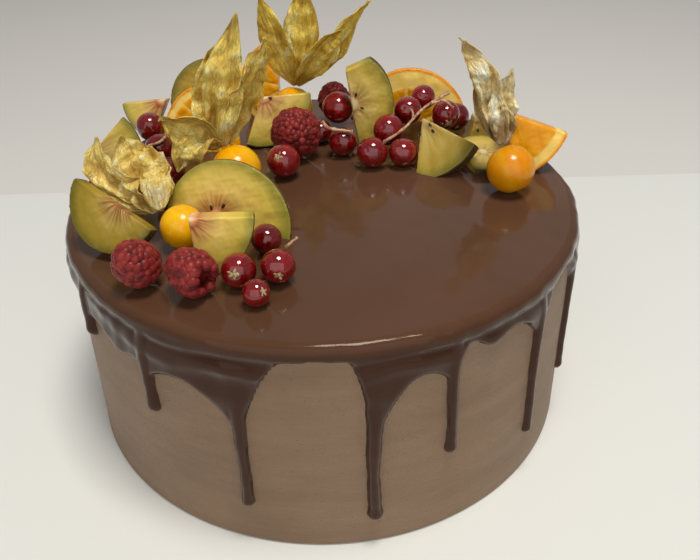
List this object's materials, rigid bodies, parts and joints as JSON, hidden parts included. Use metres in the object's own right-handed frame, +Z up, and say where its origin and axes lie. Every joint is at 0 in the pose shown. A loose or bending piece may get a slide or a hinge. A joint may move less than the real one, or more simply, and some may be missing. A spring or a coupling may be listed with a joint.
{
  "type": "chocolate berry cake",
  "caption": "Round chocolate drip cake with a glossy ganache top and a crescent of kiwi and orange slices, husk berries, raspberries and redcurrants.",
  "frame": {"origin": "centre of the cake's flat underside", "axes": "+Z up, -Y towards the side shown to the viewer, +X to the viewer's right"},
  "size_m": [0.2021, 0.2019, 0.157],
  "materials": {
    "buttercream": "matte chocolate buttercream, finely smeared",
    "ganache": "glossy set chocolate ganache",
    "kiwi": "moist fruit flesh with a thin dark skin",
    "orange": "moist fruit flesh, pale pith and peel",
    "golden_berry": "smooth waxy berry skin",
    "husk": "dry papery husk with veins",
    "raspberry": "dusty drupelets",
    "currant": "clear glossy berry skin",
    "stalk": "dry plant stalk"
  },
  "bodies": {
    "root": {"cake_body": "buttercream", "ganache": "ganache", "kiwi_01": "kiwi", "kiwi_02": "kiwi", "kiwi_03": "kiwi", "kiwi_04": "kiwi", "kiwi_05": "kiwi", "kiwi_06": "kiwi", "kiwi_07": "kiwi", "kiwi_08": "kiwi", "kiwi_09": "kiwi", "kiwi_10": "kiwi", "kiwi_11": "kiwi", "orange_01": "orange", "orange_02": "orange", "orange_03": "orange", "orange_04": "orange", "golden_berry_01": "golden_berry", "golden_berry_02": "golden_berry", "golden_berry_03": "golden_berry", "golden_berry_04": "golden_berry", "husk_01": "husk", "husk_02": "husk", "husk_03": "husk", "husk_04": "husk", "raspberry_01": "raspberry", "raspberry_02": "raspberry", "raspberry_03": "raspberry", "raspberry_04": "raspberry", "raspberry_05": "raspberry", "currant_01": "currant", "currant_02": "currant", "currant_03": "currant", "currant_04": "currant", "currant_05": "currant", "currant_06": "currant", "currant_07": "currant", "currant_08": "currant", "currant_09": "currant", "currant_10": "currant", "currant_11": "currant", "currant_12": "currant", "currant_13": "currant", "currant_14": "currant", "currant_15": "currant", "currant_16": "currant", "currant_17": "currant", "currant_18": "currant", "stalk_01": "stalk", "stalk_02": "stalk", "stalk_03": "stalk", "stalk_04": "stalk"}
  },
  "joints": []
}
